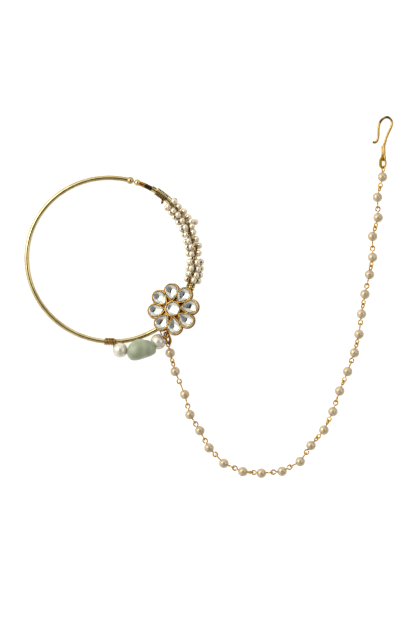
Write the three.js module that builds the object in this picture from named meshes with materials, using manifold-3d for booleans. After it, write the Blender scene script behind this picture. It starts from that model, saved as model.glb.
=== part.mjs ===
// A nath: an open nose hoop with a stone flower, a sleeve of seed pearls, a strand of three beads,
// and a chain of pearls that ends in a wire ear hook.
// Millimetres. It lies on Z = 0 and is seen from above, with +Y up the page.
import * as THREE from "three";
import { mergeVertices } from "three/addons/utils/BufferGeometryUtils.js";
import Module from "manifold-3d";

// Hoop: an almost round ring of wire, open at the top, lying a little askew on its pearl sleeve.
const hoopLong = 54.8; // centreline diameter along the longer axis
const hoopShort = 53.0;
const hoopAxis = -17.7; // direction of the longer axis, degrees
const hoopWire = 1.56;
const hoopX = -31.9;
const hoopY = 12.0;
const hoopSteps = 52;
const hoopSides = 8;
const restAngle = 195; // the hoop touches the ground here, and is raised most on the other side

// The two ends of the hoop, as angles round its centre.
const leftBallAngle = 76.1;
const leftBall = 2.4; // diameter
const rightBallAngle = 70.9;
const rightBall = 2.2;
const capAngle = 62.6; // where the end cap meets the hoop's wire
const capWall = 0.26;
const tenonLength = 5.0; // degrees of hoop inside the cap
const fitGap = 0.1; // clearance where one piece goes into another

// Wire that binds pearls and beads to the hoop.
const bindWire = 0.38;
const bindGap = 0.05;
const bindSides = 5;
const turnSteps = 8; // straight stretches in one turn of a wrap
const topWrapFrom = 55.7;
const topWrapTo = 47.9;
const topWrapTurns = 7;
const tailLength = 1.3;
const runTurns = 1.25; // turns of the strand under the pearls
const runEnd = -20.5;
const footWrapFrom = 26.83; // distance along the hoop from the flower's middle, as below
const footWrapTo = 23.68;
const footWrapTurns = 7;
const endWrapFrom = 8.23;
const endWrapTo = 6.89;
const endWrapTurns = 3;

// Seed pearl sleeve.
const sleeveFrom = 45.6;
const sleeveTo = -15.8;
const seedRows = 13;
const seedPearl = 2.15;
const seedRing = 1.98; // from the hoop's centreline to a pearl's centre
const seedValley = 0.22; // how far the sleeve draws in between two rows
const frontGap = 58; // direction of the open front of the rows, degrees up from outward
const frontGapDepth = 0.75;
const bulgeAngle = 24.5; // where a few pearls stand out from the rows
const bulgeHeight = 0.85;
const sleeveSides = 12;

// Strand of three beads. Where the wire goes into each bead and comes out of it: distance along
// the hoop from the flower's middle, distance outside the centreline and height above it.
const strandHoles = [
  [
    { along: 23.91, out: 2.13, height: 0.33 },
    { along: 20.09, out: 3.71, height: 2.37 },
  ],
  [
    { along: 19.8, out: 3.95, height: 2.35 },
    { along: 12.25, out: 4.75, height: 2.3 },
  ],
  [
    { along: 11.9, out: 4.56, height: 1.91 },
    { along: 8.96, out: 3.04, height: -1.31 },
  ],
];
const beadGap = 0.2; // round the wire in a bead's hole
const strandPearl = 4.84;
const greenWidth = 6.7;
const greenThick = 6.0;
const greenSides = 12;
const strandPearlSides = 12;
const strandPearlRings = 7;
// Rows along the green bead: place along its length, half width and half thickness, as shares.
const greenRows = [
  { along: -0.5, width: 0.16 },
  { along: -0.45, width: 0.48 },
  { along: -0.36, width: 0.82 },
  { along: -0.22, width: 1.0 },
  { along: -0.05, width: 0.97 },
  { along: 0.12, width: 0.82 },
  { along: 0.28, width: 0.7 },
  { along: 0.42, width: 0.48 },
  { along: 0.5, width: 0.16 },
];

// Flower: eight drop-shaped collets round a round one, on a plate that a sleeve holds on the hoop.
const petals = 8;
const flowerAngle = -38;
const flowerIn = 1.1; // its centre lies this far inside the hoop's centreline
const flowerTilt = 11; // degrees; the outer edge is raised
const petalTurn = -1.3;
const petalRing = 5.95; // from the flower's centre to the round part of a petal stone
const petalWidth = 4.1;
const petalPoint = 3.15; // from the centre of the round part to the stone's point
const rim = 0.42;
const centreStone = 4.4;
const plateThick = 0.7;
const plateDisc = 12.6;
const colletHeight = 2.4;
const seatHeight = 1.0; // the stones sit this high above the plate's underside
const stoneAbove = 0.55; // the table stands this far above the rim
const tableShare = 0.52;
const stoneGap = 0.09;
const stoneSides = 14;
const petalSides = 8; // flat sides round the broad end of a petal
const sleeveGap = 0.14; // between the hoop and the flower's sleeve
const sleeveWall = 0.85;
const sleeveSpan = 10; // degrees of hoop inside the flower's sleeve
const sleeveBite = 0.1; // how far the sleeve is let into the plate
const eyeAngle = 290.4;
const eyeStand = 1.14; // from the dip between two collets to the eye's near edge
const eyeDrop = 1.2; // the eye lies this far under the plate's middle
const eyeRing = 1.6; // centreline diameter
const eyeWire = 0.5;
const neckWire = 0.7;

// Two flattened oval rings, one on the flower's eye and one on the ear hook.
const ringThick = 0.45;
const ringBand = 0.56;
const ringBevel = 0.1;
const ringCorners = 16;
const jumpRing = { length: 4.4, width: 3.1, broad: 1.0, side: 1, roll: 52, slope: 40 };
const hookRing = { length: 3.9, width: 3.2, broad: 1.25, side: -1, roll: -38, slope: 0 };
const jumpHold = 150; // where round the jump ring the flower's eye sits, degrees from its right side
const hookRingX = 56.37;
const hookRingY = 43.43;
const hookRingZ = 1.5;

// Chain of pearls, each on its own eye pin.
const chainPearl = 3.0;
const chainPearlSides = 10;
const chainPearlRings = 5;
const pinWire = 0.38;
const eyeWidth = 1.34; // outside, as are the lengths
const eyeLength = 1.5;
const eyePlay = 0.1;
const endEyeWidth = 1.7;
const endEyeLength = 2.2;
const eyeSteps = 9;
const eyeNeck = 0.12; // from an eye to the bend where its pin starts
const footGap = 0.16; // between a ring's foot and the pin eye round it
// Where the pearls lie, and how far the eye at each pearl's far side is rolled up on its edge.
const chainRoute = [
  { x: -12.6, y: -18.3, roll: 45 },
  { x: -11.0, y: -24.3, roll: 0 },
  { x: -7.9, y: -31.7, roll: 90 },
  { x: -6.2, y: -38.3, roll: 90 },
  { x: -3.0, y: -43.5, roll: 90 },
  { x: 0.0, y: -49.1, roll: 0 },
  { x: 4.8, y: -54.1, roll: 90 },
  { x: 11.0, y: -56.8, roll: 65 },
  { x: 17.0, y: -57.3, roll: 90 },
  { x: 23.7, y: -56.7, roll: 0 },
  { x: 29.6, y: -53.5, roll: 90 },
  { x: 33.1, y: -48.3, roll: 50 },
  { x: 37.3, y: -43.3, roll: 65 },
  { x: 40.2, y: -37.3, roll: 10 },
  { x: 42.4, y: -30.6, roll: 60 },
  { x: 45.0, y: -24.3, roll: 90 },
  { x: 47.2, y: -18.2, roll: 45 },
  { x: 48.7, y: -12.2, roll: 90 },
  { x: 49.5, y: -5.6, roll: 50 },
  { x: 50.6, y: 0.8, roll: 0 },
  { x: 52.1, y: 7.2, roll: 45 },
  { x: 53.1, y: 12.8, roll: 0 },
  { x: 53.1, y: 19.6, roll: 45 },
  { x: 54.9, y: 25.7, roll: 0 },
  { x: 54.7, y: 32.3, roll: 60 },
  { x: 56.3, y: 38.9, roll: 0 },
];

// Ear hook.
const hookWire = 0.62;
const hookSides = 6;
const hookHeight = 13.2; // from the start of the loop to the top of the bend
const hookWidth = 6.5;
const hookLoop = 1.5; // centreline diameter of the loop round the hook ring
const twistStart = 1.05; // from the middle of the loop
const twistLength = 3.5;
const twistTurns = 0.85;
const twistGap = 0.06;
// The wire from the twist to the tip, as shares of the hook's width (from the loop) and height.
const hookRoute = [
  { x: 0.1, y: 0.45 },
  { x: 0.165, y: 0.535 },
  { x: 0.255, y: 0.64 },
  { x: 0.37, y: 0.745 },
  { x: 0.426, y: 0.825 },
  { x: 0.427, y: 0.895 },
  { x: 0.34, y: 0.965 },
  { x: 0.195, y: 1.004 },
  { x: 0.015, y: 0.975 },
  { x: -0.125, y: 0.91 },
  { x: -0.21, y: 0.81 },
  { x: -0.245, y: 0.67 },
  { x: -0.25, y: 0.55 },
  { x: -0.295, y: 0.445 },
  { x: -0.375, y: 0.39 },
  { x: -0.465, y: 0.38 },
  { x: -0.535, y: 0.395 },
];
const hookSteps = 58;

const wasm = await Module();
wasm.setup();

const degrees = Math.PI / 180;
const hoopRadius = hoopWire / 2;
const up = new THREE.Vector3(0, 0, 1);

// Materials
const paint = (color, roughness, metalness) => new THREE.MeshStandardMaterial({ color, roughness, metalness });
const hoopGold = paint(0xc9b06c, 0.25, 1);
const flowerGold = paint(0xd69a45, 0.28, 1);
const chainGold = paint(0xd8a04e, 0.3, 1);
const ivoryPearl = paint(0xe9e4d6, 0.3, 0);
const champagnePearl = paint(0xcdbb9a, 0.3, 0);
const greenStone = paint(0xa5b091, 0.45, 0);
const foiledGlass = paint(0xdfe3dc, 0.08, 0.3);

const nath = new THREE.Group();
const hoopGroup = new THREE.Group();

function addMesh(group, name, geometry, material) {
  geometry.computeVertexNormals();
  const mesh = new THREE.Mesh(geometry, material);
  mesh.name = name;
  group.add(mesh);
  return mesh;
}

// A geometry as a solid that can be joined and cut, and back again.
function solid(geometry) {
  const bare = geometry.clone();
  bare.deleteAttribute("normal");
  bare.deleteAttribute("uv");
  const merged = mergeVertices(bare, 1e-4);
  const vertProperties = merged.attributes.position.array;
  const triVerts = new Uint32Array(merged.index.array);
  return new wasm.Manifold(new wasm.Mesh({ numProp: 3, vertProperties, triVerts }));
}

function geometryOf(body) {
  const { vertProperties, triVerts } = body.getMesh();
  const geometry = new THREE.BufferGeometry();
  geometry.setAttribute("position", new THREE.BufferAttribute(vertProperties, 3));
  geometry.setIndex(new THREE.BufferAttribute(triVerts, 1));
  return geometry;
}

const join = (geometries) => geometries.map(solid).reduce((sum, body) => sum.add(body));
const cut = (body, geometries) => geometries.map(solid).reduce((rest, tool) => rest.subtract(tool), body);

function curveOf(pointAt) {
  const curve = new THREE.Curve();
  curve.arcLengthDivisions = 2000;
  curve.getPoint = pointAt;
  return curve;
}

function curveThrough(points) {
  const curve = new THREE.CatmullRomCurve3(points);
  curve.arcLengthDivisions = 4000;
  return curve;
}

// Wire of a round section along a curve.
function wire(curve, diameter, sides, steps) {
  const section = new THREE.Shape();
  for (let side = 0; side < sides; side++) {
    const turn = (side / sides) * 2 * Math.PI;
    const x = (Math.cos(turn) * diameter) / 2;
    const y = (Math.sin(turn) * diameter) / 2;
    if (side) section.lineTo(x, y);
    else section.moveTo(x, y);
  }
  return new THREE.ExtrudeGeometry(section, { steps, bevelEnabled: false, extrudePath: curve });
}

// A closed skin over rings of points, with a flat end at each side.
function skin(rings) {
  const count = rings[0].length;
  const ends = [rings[0], rings.at(-1)].map((ring) =>
    ring.reduce((sum, p) => sum.add(p), new THREE.Vector3()).divideScalar(count),
  );
  const points = [...rings.flat(), ...ends];
  const index = [];
  for (let ring = 0; ring < rings.length - 1; ring++) {
    for (let i = 0; i < count; i++) {
      const a = ring * count + i;
      const b = ring * count + ((i + 1) % count);
      index.push(a, b, b + count, a, b + count, a + count);
    }
  }
  const last = (rings.length - 1) * count;
  for (let i = 0; i < count; i++) {
    const next = (i + 1) % count;
    index.push(points.length - 2, next, i);
    index.push(points.length - 1, last + i, last + next);
  }
  const geometry = new THREE.BufferGeometry().setFromPoints(points);
  geometry.setIndex(index);
  return geometry;
}

// A straight round rod between two points.
function rod(from, to, diameter, sides) {
  return wire(new THREE.LineCurve3(from, to), diameter, sides, 1);
}

function ball(diameter, sides, rings) {
  return new THREE.SphereGeometry(diameter / 2, sides, rings);
}

// A point by its angle round the hoop, its distance outside the centreline and its height above it.
function atHoop(angle, out = 0, height = 0) {
  const fromAxis = (angle - hoopAxis) * degrees;
  const long = hoopLong / 2;
  const short = hoopShort / 2;
  const reach = (long * short) / Math.hypot(short * Math.cos(fromAxis), long * Math.sin(fromAxis));
  const turn = angle * degrees;
  return new THREE.Vector3(Math.cos(turn) * (reach + out), Math.sin(turn) * (reach + out), height);
}

// The angle round the hoop of a place this far along it from the flower's middle.
const besideFlower = (along) => flowerAngle - along / (hoopLong / 2) / degrees;

const hoopCurve = (from, to) => curveOf((t) => atHoop(from + (to - from) * t));

// Points of a wrap round the hoop's wire. Phase 0 is outward and a quarter turn is up.
const bindRadius = (hoopRadius + bindWire / 2) / Math.cos(Math.PI / turnSteps) + bindGap;

function wrapPoints(from, to, turns, startPhase) {
  const count = Math.max(Math.round(Math.abs(turns) * turnSteps), 12);
  const points = [];
  for (let i = 0; i <= count; i++) {
    const share = i / count;
    const phase = startPhase + share * turns * 2 * Math.PI;
    points.push(atHoop(from + (to - from) * share, Math.cos(phase) * bindRadius, Math.sin(phase) * bindRadius));
  }
  return points;
}

// Hoop: the wire, its left ball, and a tenon for the end cap.
const tenonWire = hoopWire - 2 * (capWall + fitGap);
const capMouth = capAngle + fitGap / (hoopLong / 2) / degrees;

function makeHoop() {
  const ring = wire(hoopCurve(leftBallAngle, capAngle + 360), hoopWire, hoopSides, hoopSteps);
  const tenon = wire(hoopCurve(capAngle - 1, capAngle + tenonLength), tenonWire, hoopSides, 3);
  const leftEnd = ball(leftBall, 10, 8).translate(...atHoop(leftBallAngle));
  return geometryOf(join([ring, tenon, leftEnd]));
}

function makeCap() {
  const thimble = wire(hoopCurve(capMouth, rightBallAngle), hoopWire, hoopSides, 4);
  const end = ball(rightBall, 10, 8).translate(...atHoop(rightBallAngle));
  const bore = wire(hoopCurve(capAngle - 1, capAngle + tenonLength + 0.5), hoopWire - 2 * capWall, hoopSides, 3);
  return geometryOf(cut(join([thimble, end]), [bore]));
}

// Pearl wire: a wrap above the sleeve with its tail, then one strand under the pearls.
function makePearlWire() {
  const inward = Math.PI;
  const wrap = wrapPoints(topWrapFrom, topWrapTo, topWrapTurns, inward);
  const run = wrapPoints(topWrapTo, runEnd, runTurns, inward);
  const strand = wire(curveThrough([...wrap, ...run.slice(1)]), bindWire, bindSides, 88);
  const tail = rod(atHoop(topWrapTo, -bindRadius), atHoop(topWrapTo, -bindRadius - tailLength), bindWire, bindSides);
  return geometryOf(join([strand, tail]));
}

// Seed pearl sleeve: rows of small pearls round the hoop, as one ribbed sleeve.
function makeSleeve() {
  const count = 2 * seedRows + 1;
  const rings = [];
  for (let ring = 0; ring < count; ring++) {
    const angle = sleeveFrom + ((sleeveTo - sleeveFrom) * ring) / (count - 1);
    const valley = ring % 2 === 0 ? seedValley : 0;
    const bulge = bulgeHeight * Math.exp(-(((angle - bulgeAngle) / 3) ** 2));
    const points = [];
    for (let side = 0; side < sleeveSides; side++) {
      const phase = (side / sleeveSides) * 2 * Math.PI;
      const facing = Math.max(Math.cos(phase - frontGap * degrees), 0);
      const open = frontGapDepth * facing ** 6;
      const stand = bulge * Math.max(Math.cos(phase), 0) ** 2;
      const reach = seedRing + seedPearl / 2 - valley - open + stand;
      points.push(atHoop(angle, Math.cos(phase) * reach, Math.sin(phase) * reach));
    }
    rings.push(points);
  }
  const boreSize = (2 * (bindRadius + bindWire / 2 + fitGap)) / Math.cos(Math.PI / hoopSides);
  const bore = wire(hoopCurve(sleeveFrom + 2, sleeveTo - 2), boreSize, hoopSides, 10);
  return geometryOf(cut(solid(skin(rings)), [bore]));
}

// Strand of beads. Each bead is made with its hole along X, then turned and set in its place.
const holePoints = strandHoles.map((ends) =>
  ends.map(({ along, out, height }) => atHoop(besideFlower(along), out, height)),
);

function beadPlace(number) {
  const [from, to] = holePoints[number];
  const ahead = to.clone().sub(from).normalize();
  const side = new THREE.Vector3().crossVectors(up, ahead).normalize();
  const place = new THREE.Object3D();
  const basis = new THREE.Matrix4().makeBasis(ahead, side, new THREE.Vector3().crossVectors(ahead, side));
  place.position.lerpVectors(from, to, 0.5);
  place.quaternion.setFromRotationMatrix(basis);
  place.updateMatrix();
  return place;
}

function beadHole(number) {
  const end = new THREE.Vector3(holePoints[number][0].distanceTo(holePoints[number][1]), 0, 0);
  return rod(end.clone().negate(), end, bindWire + 2 * beadGap, 8);
}

function makeStrandPearl(number) {
  const pearl = solid(ball(strandPearl, strandPearlSides, strandPearlRings));
  return geometryOf(cut(pearl, [beadHole(number)]));
}

function makeGreenBead(number) {
  const length = holePoints[number][0].distanceTo(holePoints[number][1]);
  const rings = greenRows.map(({ along, width }) =>
    Array.from({ length: greenSides }, (_, side) => {
      const turn = (side / greenSides) * 2 * Math.PI;
      const y = (Math.cos(turn) * width * greenWidth) / 2;
      const z = (Math.sin(turn) * width * greenThick) / 2;
      return new THREE.Vector3(along * length, y, z);
    }),
  );
  return geometryOf(cut(solid(skin(rings)), [beadHole(number)]));
}

function addBead(name, number, geometry, material) {
  const mesh = addMesh(hoopGroup, name, geometry, material);
  const place = beadPlace(number);
  mesh.position.copy(place.position);
  mesh.quaternion.copy(place.quaternion);
}

// Bead wire: a wrap at the hoop's foot, the strand through three beads, a wrap by the flower.
function makeBeadWire() {
  const strand = holePoints.flatMap(([from, to]) =>
    [0, 0.1, 0.35, 0.65, 0.9, 1].map((share) => from.clone().lerp(to, share)),
  );
  const foot = wrapPoints(besideFlower(footWrapFrom), besideFlower(footWrapTo), footWrapTurns, -Math.PI / 4);
  const end = wrapPoints(besideFlower(endWrapFrom), besideFlower(endWrapTo), endWrapTurns, -Math.PI / 6);
  return wire(curveThrough([...foot, ...strand, ...end]), bindWire, bindSides, 106);
}

// Flower, in its own frame: +X away from the hoop's centre, +Z up through the stones.
const sleeveBore = hoopRadius + sleeveGap;
const sleeveRadius = sleeveBore + sleeveWall;
const flowerLift = sleeveRadius - sleeveBite - flowerIn * Math.tan(flowerTilt * degrees);
const flowerGroup = new THREE.Group();
flowerGroup.position.copy(atHoop(flowerAngle, -flowerIn, flowerLift));
flowerGroup.rotation.set(0, -flowerTilt * degrees, flowerAngle * degrees, "ZYX");
flowerGroup.updateMatrix();

// A drop round the origin's +X side: a circle of the stone's width with two straight sides to a point.
function dropOutline(grow) {
  const radius = petalWidth / 2;
  const tangent = Math.PI - Math.acos(radius / petalPoint);
  const arc = petalSides;
  const points = [];
  for (let i = 0; i <= arc; i++) {
    const turn = -tangent + (2 * tangent * i) / arc;
    points.push([petalRing + Math.cos(turn) * (radius + grow), Math.sin(turn) * (radius + grow)]);
  }
  points.push([petalRing - petalPoint - (grow * petalPoint) / radius, 0]);
  return points;
}

function roundOutline(grow) {
  const radius = centreStone / 2 + grow;
  return Array.from({ length: stoneSides }, (_, i) => {
    const turn = (i / stoneSides) * 2 * Math.PI;
    return [Math.cos(turn) * radius, Math.sin(turn) * radius];
  });
}

// A solid with one outline at several heights, each drawn in towards a middle by its own share.
function stack(outline, middle, levels) {
  const rings = levels.map(({ z, share }) =>
    outline.map(([x, y]) => new THREE.Vector3(middle + (x - middle) * share, y * share, z)),
  );
  return skin(rings);
}

const prism = (outline, from, to) =>
  stack(outline, 0, [
    { z: from, share: 1 },
    { z: to, share: 1 },
  ]);

// The eye stands off the dip between two collets.
const halfPitch = Math.PI / petals;
const colletRadius = petalWidth / 2 + rim;
const colletDip =
  petalRing * Math.cos(halfPitch) + Math.sqrt(colletRadius ** 2 - (petalRing * Math.sin(halfPitch)) ** 2);
const eyeReach = colletDip + eyeStand + (eyeRing + eyeWire) / 2;

const petalAngles = Array.from({ length: petals }, (_, i) => (petalTurn + (i * 360) / petals) * degrees);

function makeStone(outline, middle) {
  return stack(outline, middle, [
    { z: seatHeight + stoneGap, share: 1 },
    { z: colletHeight - stoneGap, share: 1 },
    { z: colletHeight + stoneAbove, share: tableShare },
  ]);
}

function makeSetting() {
  const plate = new THREE.CylinderGeometry(plateDisc / 2, plateDisc / 2, plateThick, 24);
  plate.rotateX(Math.PI / 2).translate(0, 0, plateThick / 2);
  const collets = petalAngles.map((turn) => prism(dropOutline(rim), 0, colletHeight).rotateZ(turn));
  const seats = petalAngles.map((turn) =>
    prism(dropOutline(stoneGap), seatHeight, colletHeight + 1).rotateZ(turn),
  );
  const toEye = new THREE.Vector3(Math.cos(eyeAngle * degrees), Math.sin(eyeAngle * degrees), 0);
  const neckFrom = toEye.clone().multiplyScalar(plateDisc / 2 - neckWire);
  const neckTo = toEye.clone().multiplyScalar(eyeReach - eyeRing / 2);
  neckFrom.z = plateThick / 2;
  neckTo.z = plateThick / 2 - eyeDrop;
  const eye = new THREE.TorusGeometry(eyeRing / 2, eyeWire / 2, 6, 14);
  eye.translate(toEye.x * eyeReach, toEye.y * eyeReach, plateThick / 2 - eyeDrop);
  const middle = prism(roundOutline(rim), 0, colletHeight);
  const body = [plate, ...collets, middle, rod(neckFrom, neckTo, neckWire, 8), eye];
  const holes = [...seats, prism(roundOutline(stoneGap), seatHeight, colletHeight + 1)];
  const flower = geometryOf(cut(join(body), holes)).applyMatrix4(flowerGroup.matrix);
  const from = flowerAngle - sleeveSpan / 2;
  const to = flowerAngle + sleeveSpan / 2;
  const sleeve = wire(hoopCurve(from, to), 2 * sleeveRadius, 10, 5);
  const bore = wire(hoopCurve(from - 2, to + 2), 2 * sleeveBore, 10, 6);
  return geometryOf(cut(join([flower, sleeve]), [bore]));
}

// A flattened oval ring, long along Y, with a broad band on one side.
function ovalRing({ length, width, broad, side }) {
  const edge = new THREE.Shape();
  edge.absellipse(0, 0, width / 2, length / 2, 0, 2 * Math.PI, false);
  const hole = new THREE.Path();
  const holeX = ringHoleX({ broad, side });
  hole.absellipse(holeX, 0, (width - broad - ringBand) / 2, length / 2 - ringBand, 0, 2 * Math.PI, true);
  edge.holes.push(hole);
  const depth = ringThick - 2 * ringBevel;
  const geometry = new THREE.ExtrudeGeometry(edge, {
    depth,
    curveSegments: ringCorners / 2,
    bevelThickness: ringBevel,
    bevelSize: ringBevel,
    bevelOffset: -ringBevel,
    bevelSegments: 1,
  });
  return geometry.translate(0, 0, -depth / 2);
}

const ringHoleX = ({ broad, side }) => (-side * (broad - ringBand)) / 2;

// Turns a ring about its long axis and then tips its foot down, and sets the given point of it at a place.
function ringPlace(ring, point, at) {
  const place = new THREE.Object3D();
  place.rotation.set(ring.slope * degrees, -ring.roll * degrees, 0, "XYZ");
  place.position.copy(at).sub(point.clone().applyEuler(place.rotation));
  place.updateMatrix();
  return place;
}

function addRing(name, ring, place) {
  const mesh = addMesh(nath, name, ovalRing(ring), chainGold);
  mesh.position.copy(place.position);
  mesh.quaternion.copy(place.quaternion);
}

// The middle of a ring's band at its foot or, with end 1, at its top.
const bandPoint = (ring, end) => new THREE.Vector3(ringHoleX(ring), (end * (ring.length - ringBand)) / 2, 0);

// One end of an eye pin: out of the pearl, once round the eye, and back almost to the neck.
function pinEnd(pearl, along, across, reach, length, width) {
  const a = (length - pinWire) / 2;
  const b = (width - pinWire) / 2;
  const at = (x, y) => pearl.clone().addScaledVector(along, x).addScaledVector(across, y);
  const neck = reach - 2 * a - eyeNeck;
  const points = [at(chainPearl * 0.3, 0), at(neck, 0)];
  for (let turn = -140; turn <= 132; turn += 34) {
    points.push(at(reach - a + a * Math.cos(turn * degrees), b * Math.sin(turn * degrees)));
  }
  return wire(curveThrough(points), pinWire, bindSides, eyeSteps);
}

const jointReach = (distance) => (distance + pinWire + eyePlay) / 2;

// A pin end that holds another pearl's pin, lying flat at roll 0 and on edge at roll 90.
function pinEndToPearl(pearl, next, roll) {
  const along = next.clone().sub(pearl).normalize();
  const flat = new THREE.Vector3().crossVectors(up, along);
  const across = flat.applyAxisAngle(along, roll * degrees);
  return pinEnd(pearl, along, across, jointReach(pearl.distanceTo(next)), eyeLength, eyeWidth);
}

// A pin end that goes round the foot of a ring.
function pinEndToRing(pearl, foot, ringNormal) {
  const along = foot.clone().sub(pearl).normalize();
  const across = ringNormal.clone().projectOnPlane(along).normalize();
  const reach = foot.distanceTo(pearl) + ringBand / 2 + footGap + pinWire / 2;
  return pinEnd(pearl, along, across, reach, endEyeLength, endEyeWidth);
}

function addChain(jumpPlace, hookPlace) {
  const pearls = chainRoute.map(({ x, y }) => new THREE.Vector3(x, y, chainPearl / 2));
  const last = pearls.length - 1;
  const ringEnd = (pearl, ring, place) => {
    const foot = bandPoint(ring, -1).applyMatrix4(place.matrix);
    return pinEndToRing(pearl, foot, up.clone().applyQuaternion(place.quaternion));
  };
  pearls.forEach((pearl, i) => {
    const first =
      i === 0
        ? ringEnd(pearl, jumpRing, jumpPlace)
        : pinEndToPearl(pearl, pearls[i - 1], -chainRoute[i - 1].roll + 90);
    const second = i === last ? ringEnd(pearl, hookRing, hookPlace) : pinEndToPearl(pearl, pearls[i + 1], chainRoute[i].roll);
    const bead = ball(chainPearl, chainPearlSides, chainPearlRings).translate(...pearl);
    const name = "chain_link_" + String(i + 1).padStart(2, "0");
    addMesh(nath, name, geometryOf(join([bead, first, second])), champagnePearl);
  });
}

// Ear hook: tail and wire twisted together above a loop, then a tall bend and a curled tip.
function makeHook(hookPlace) {
  const middle = bandPoint(hookRing, 1).applyMatrix4(hookPlace.matrix);
  const side = up.clone().applyQuaternion(hookPlace.quaternion);
  const ahead = new THREE.Vector3(0, 1, 0);
  const front = new THREE.Vector3().crossVectors(side, ahead);
  const twistRadius = (hookWire + twistGap) / 2;
  const restHeight = twistRadius + hookWire / 2;
  const strandAt = (share, startTurn) => {
    const turn = startTurn + share * twistTurns * 2 * Math.PI;
    const axis = middle.clone().addScaledVector(ahead, twistStart + share * twistLength);
    axis.z += (restHeight - middle.z) * share;
    axis.addScaledVector(side, Math.cos(turn) * twistRadius);
    return axis.addScaledVector(front, Math.sin(turn) * twistRadius);
  };
  const shares = Array.from({ length: 9 }, (_, i) => i / 8);
  const tail = shares.map((share) => strandAt(1 - share, Math.PI));
  const shank = shares.map((share) => strandAt(share, 0));
  const loop = [];
  for (let turn = 140; turn <= 400; turn += 32.5) {
    const x = (Math.cos(turn * degrees) * hookLoop) / 2;
    const y = (Math.sin(turn * degrees) * hookLoop) / 2;
    loop.push(middle.clone().addScaledVector(side, x).addScaledVector(ahead, y));
  }
  const bend = hookRoute.map(
    ({ x, y }) => new THREE.Vector3(middle.x + x * hookWidth, middle.y + y * hookHeight, hookWire / 2),
  );
  return wire(curveThrough([...tail, ...loop, ...shank, ...bend]), hookWire, hookSides, hookSteps);
}

addMesh(hoopGroup, "hoop", makeHoop(), hoopGold);
addMesh(hoopGroup, "hoop_end_cap", makeCap(), flowerGold);
addMesh(hoopGroup, "pearl_wire", makePearlWire(), hoopGold);
addMesh(hoopGroup, "seed_pearls", makeSleeve(), ivoryPearl);
addMesh(hoopGroup, "bead_wire", makeBeadWire(), hoopGold);
addBead("pearl_bead_left", 0, makeStrandPearl(0), ivoryPearl);
addBead("green_bead", 1, makeGreenBead(1), greenStone);
addBead("pearl_bead_right", 2, makeStrandPearl(2), ivoryPearl);
addMesh(hoopGroup, "flower_setting", makeSetting(), flowerGold);
petalAngles.forEach((turn, i) => {
  const stone = addMesh(flowerGroup, "petal_stone_" + (i + 1), makeStone(dropOutline(0), petalRing), foiledGlass);
  stone.rotation.z = turn;
});
addMesh(flowerGroup, "centre_stone", makeStone(roundOutline(0), 0), foiledGlass);
hoopGroup.add(flowerGroup);

// The hoop lies on one side of its wire and is raised on the other by the pearl sleeve.
const raiseAngle = restAngle - 180;
const sleeveReach = 1 + Math.cos((sleeveFrom - raiseAngle) * degrees);
const restTilt = Math.asin((seedRing + seedPearl / 2 - hoopRadius) / ((hoopLong / 2) * sleeveReach));
const tiltAxis = new THREE.Vector3(Math.sin(raiseAngle * degrees), -Math.cos(raiseAngle * degrees), 0);
hoopGroup.setRotationFromAxisAngle(tiltAxis, restTilt);
hoopGroup.position.set(hoopX, hoopY, hoopRadius + (hoopLong / 2) * Math.sin(restTilt));
hoopGroup.updateMatrixWorld(true);
nath.add(hoopGroup);

const eyeSpot = new THREE.Vector3(
  Math.cos(eyeAngle * degrees) * eyeReach,
  Math.sin(eyeAngle * degrees) * eyeReach,
  plateThick / 2 - eyeDrop,
);
flowerGroup.localToWorld(eyeSpot);
const jumpPoint = new THREE.Vector3(
  (Math.cos(jumpHold * degrees) * (jumpRing.width - ringBand)) / 2,
  (Math.sin(jumpHold * degrees) * (jumpRing.length - ringBand)) / 2,
  0,
);
const jumpPlace = ringPlace(jumpRing, jumpPoint, eyeSpot);
const hookPlace = ringPlace(hookRing, new THREE.Vector3(), new THREE.Vector3(hookRingX, hookRingY, hookRingZ));
addRing("jump_ring", jumpRing, jumpPlace);
addRing("hook_ring", hookRing, hookPlace);
addChain(jumpPlace, hookPlace);
addMesh(nath, "ear_hook", makeHook(hookPlace), chainGold);

// The origin is under the middle of the whole piece, on the ground.
const extent = new THREE.Box3().setFromObject(nath, true);
const centre = extent.getCenter(new THREE.Vector3());
nath.position.set(-centre.x, -centre.y, -extent.min.z);

export default nath;
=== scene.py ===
import random
from math import acos, cos, degrees, hypot, pi, radians, sin, sqrt

import bpy
from mathutils import Matrix, Vector


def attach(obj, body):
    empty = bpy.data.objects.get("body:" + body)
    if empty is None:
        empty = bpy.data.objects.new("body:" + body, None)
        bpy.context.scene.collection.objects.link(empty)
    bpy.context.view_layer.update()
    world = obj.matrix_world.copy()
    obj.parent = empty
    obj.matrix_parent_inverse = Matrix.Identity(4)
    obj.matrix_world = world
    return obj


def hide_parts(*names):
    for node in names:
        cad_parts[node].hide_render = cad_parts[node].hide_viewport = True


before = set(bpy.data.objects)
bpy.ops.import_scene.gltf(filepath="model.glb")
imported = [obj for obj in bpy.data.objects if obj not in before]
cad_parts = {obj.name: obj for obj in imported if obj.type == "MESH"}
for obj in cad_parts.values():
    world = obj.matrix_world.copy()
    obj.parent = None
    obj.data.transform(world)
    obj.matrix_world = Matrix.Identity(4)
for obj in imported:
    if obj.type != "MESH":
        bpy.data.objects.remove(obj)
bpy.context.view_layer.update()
mm = 0.001  # sizes below are in millimetres, angles in degrees
up = Vector((0, 0, 1))


def say(text):
    print("nath: " + text)


def evenly(start, end, count):
    # count numbers spaced evenly from start to end
    return [start + (end - start) * i / (count - 1) for i in range(count)]


def spun(angle, axis):
    return Matrix.Rotation(radians(angle), 4, axis)


# Handling of objects

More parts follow.
